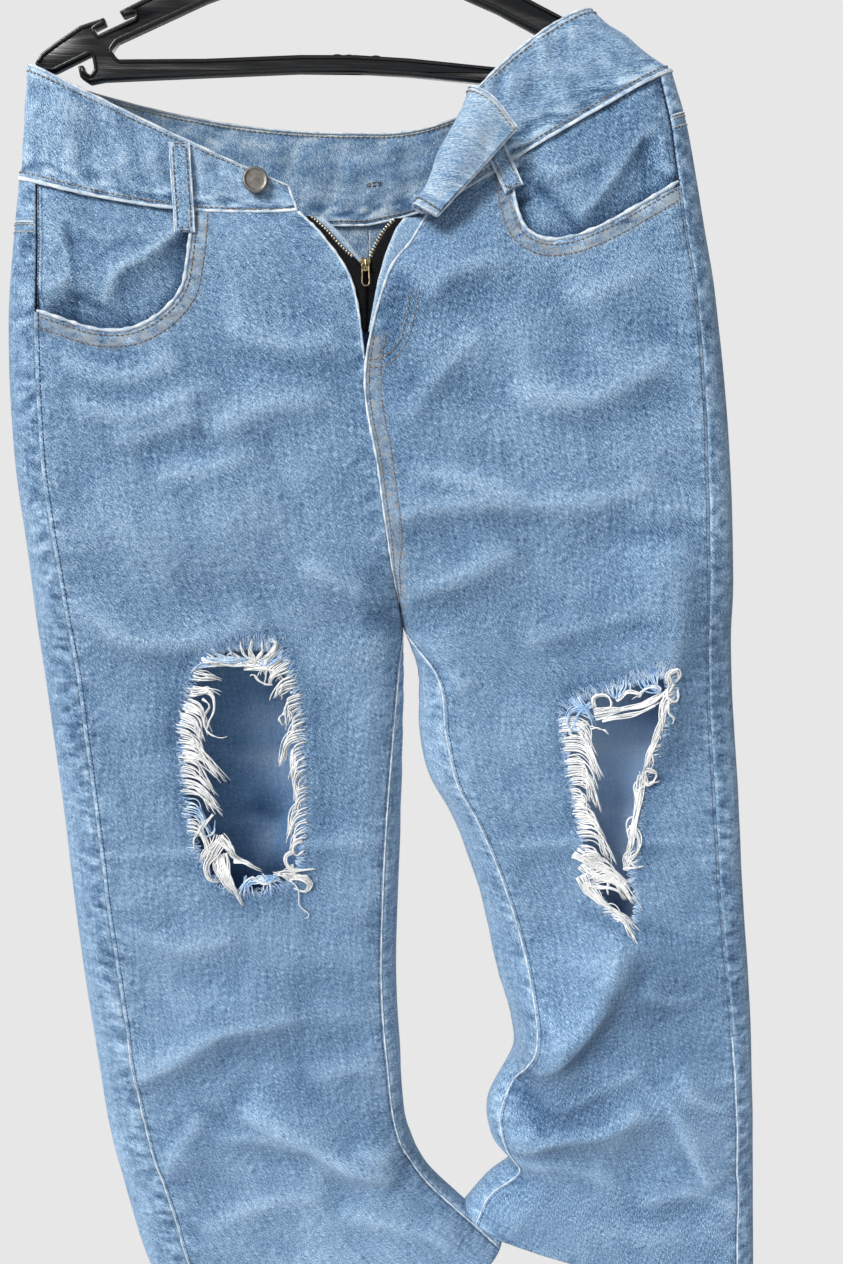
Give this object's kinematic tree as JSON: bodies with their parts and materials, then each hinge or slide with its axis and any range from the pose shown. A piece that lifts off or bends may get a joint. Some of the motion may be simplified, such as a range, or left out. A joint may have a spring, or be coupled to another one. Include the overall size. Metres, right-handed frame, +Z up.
{
  "type": "ripped jeans on a hanger",
  "caption": "Wide-leg light-wash denim jeans with frayed knee rips, unbuttoned and unzipped at the waist, hanging flat on a plain plastic hanger.",
  "frame": {"origin": "the top of the inside of the hanger's hook, where a rail carries it", "axes": "+X to the right as one faces the front, +Y into the wall behind, +Z up"},
  "size_m": [0.6201, 0.1029, 1.2416],
  "materials": {
    "denim": "light-wash cotton twill, worn at folds and seams",
    "frayed_cotton": "loose undyed cotton threads",
    "zip_tape": "black woven tape",
    "zip_brass": "aged, lightly brushed",
    "button_metal": "dull nickel",
    "hanger_plastic": "moulded, gloss"
  },
  "bodies": {
    "jeans": {"waistband": "denim", "front_left": "denim", "front_right": "denim", "back_left": "denim", "back_right": "denim", "yoke_left": "denim", "yoke_right": "denim", "back_pocket_left": "denim", "back_pocket_right": "denim", "pocket_facing_left": "denim", "pocket_facing_right": "denim", "belt_loop_front_left": "denim", "belt_loop_front_right": "denim", "belt_loop_back_left": "denim", "belt_loop_back_centre": "denim", "belt_loop_back_right": "denim", "fly_facing": "denim", "fly_shield": "denim", "zip_tape_left": "zip_tape", "zip_tape_right": "zip_tape", "zip_slider": "zip_brass", "button": "button_metal", "fringe_left": "frayed_cotton", "fringe_right": "frayed_cotton", "hanger_frame": "hanger_plastic", "hanger_hook": "hanger_plastic"},
    "pull_tab": {"pull_tab": "zip_brass"}
  },
  "joints": [
    {"name": "pull_tab_swing", "type": "hinge", "parent": "jeans", "child": "pull_tab", "pos_m": [0.00375, -0.03261, -0.25495], "axis": [-1, 0, 0], "range_deg": [0, 160]}
  ]
}
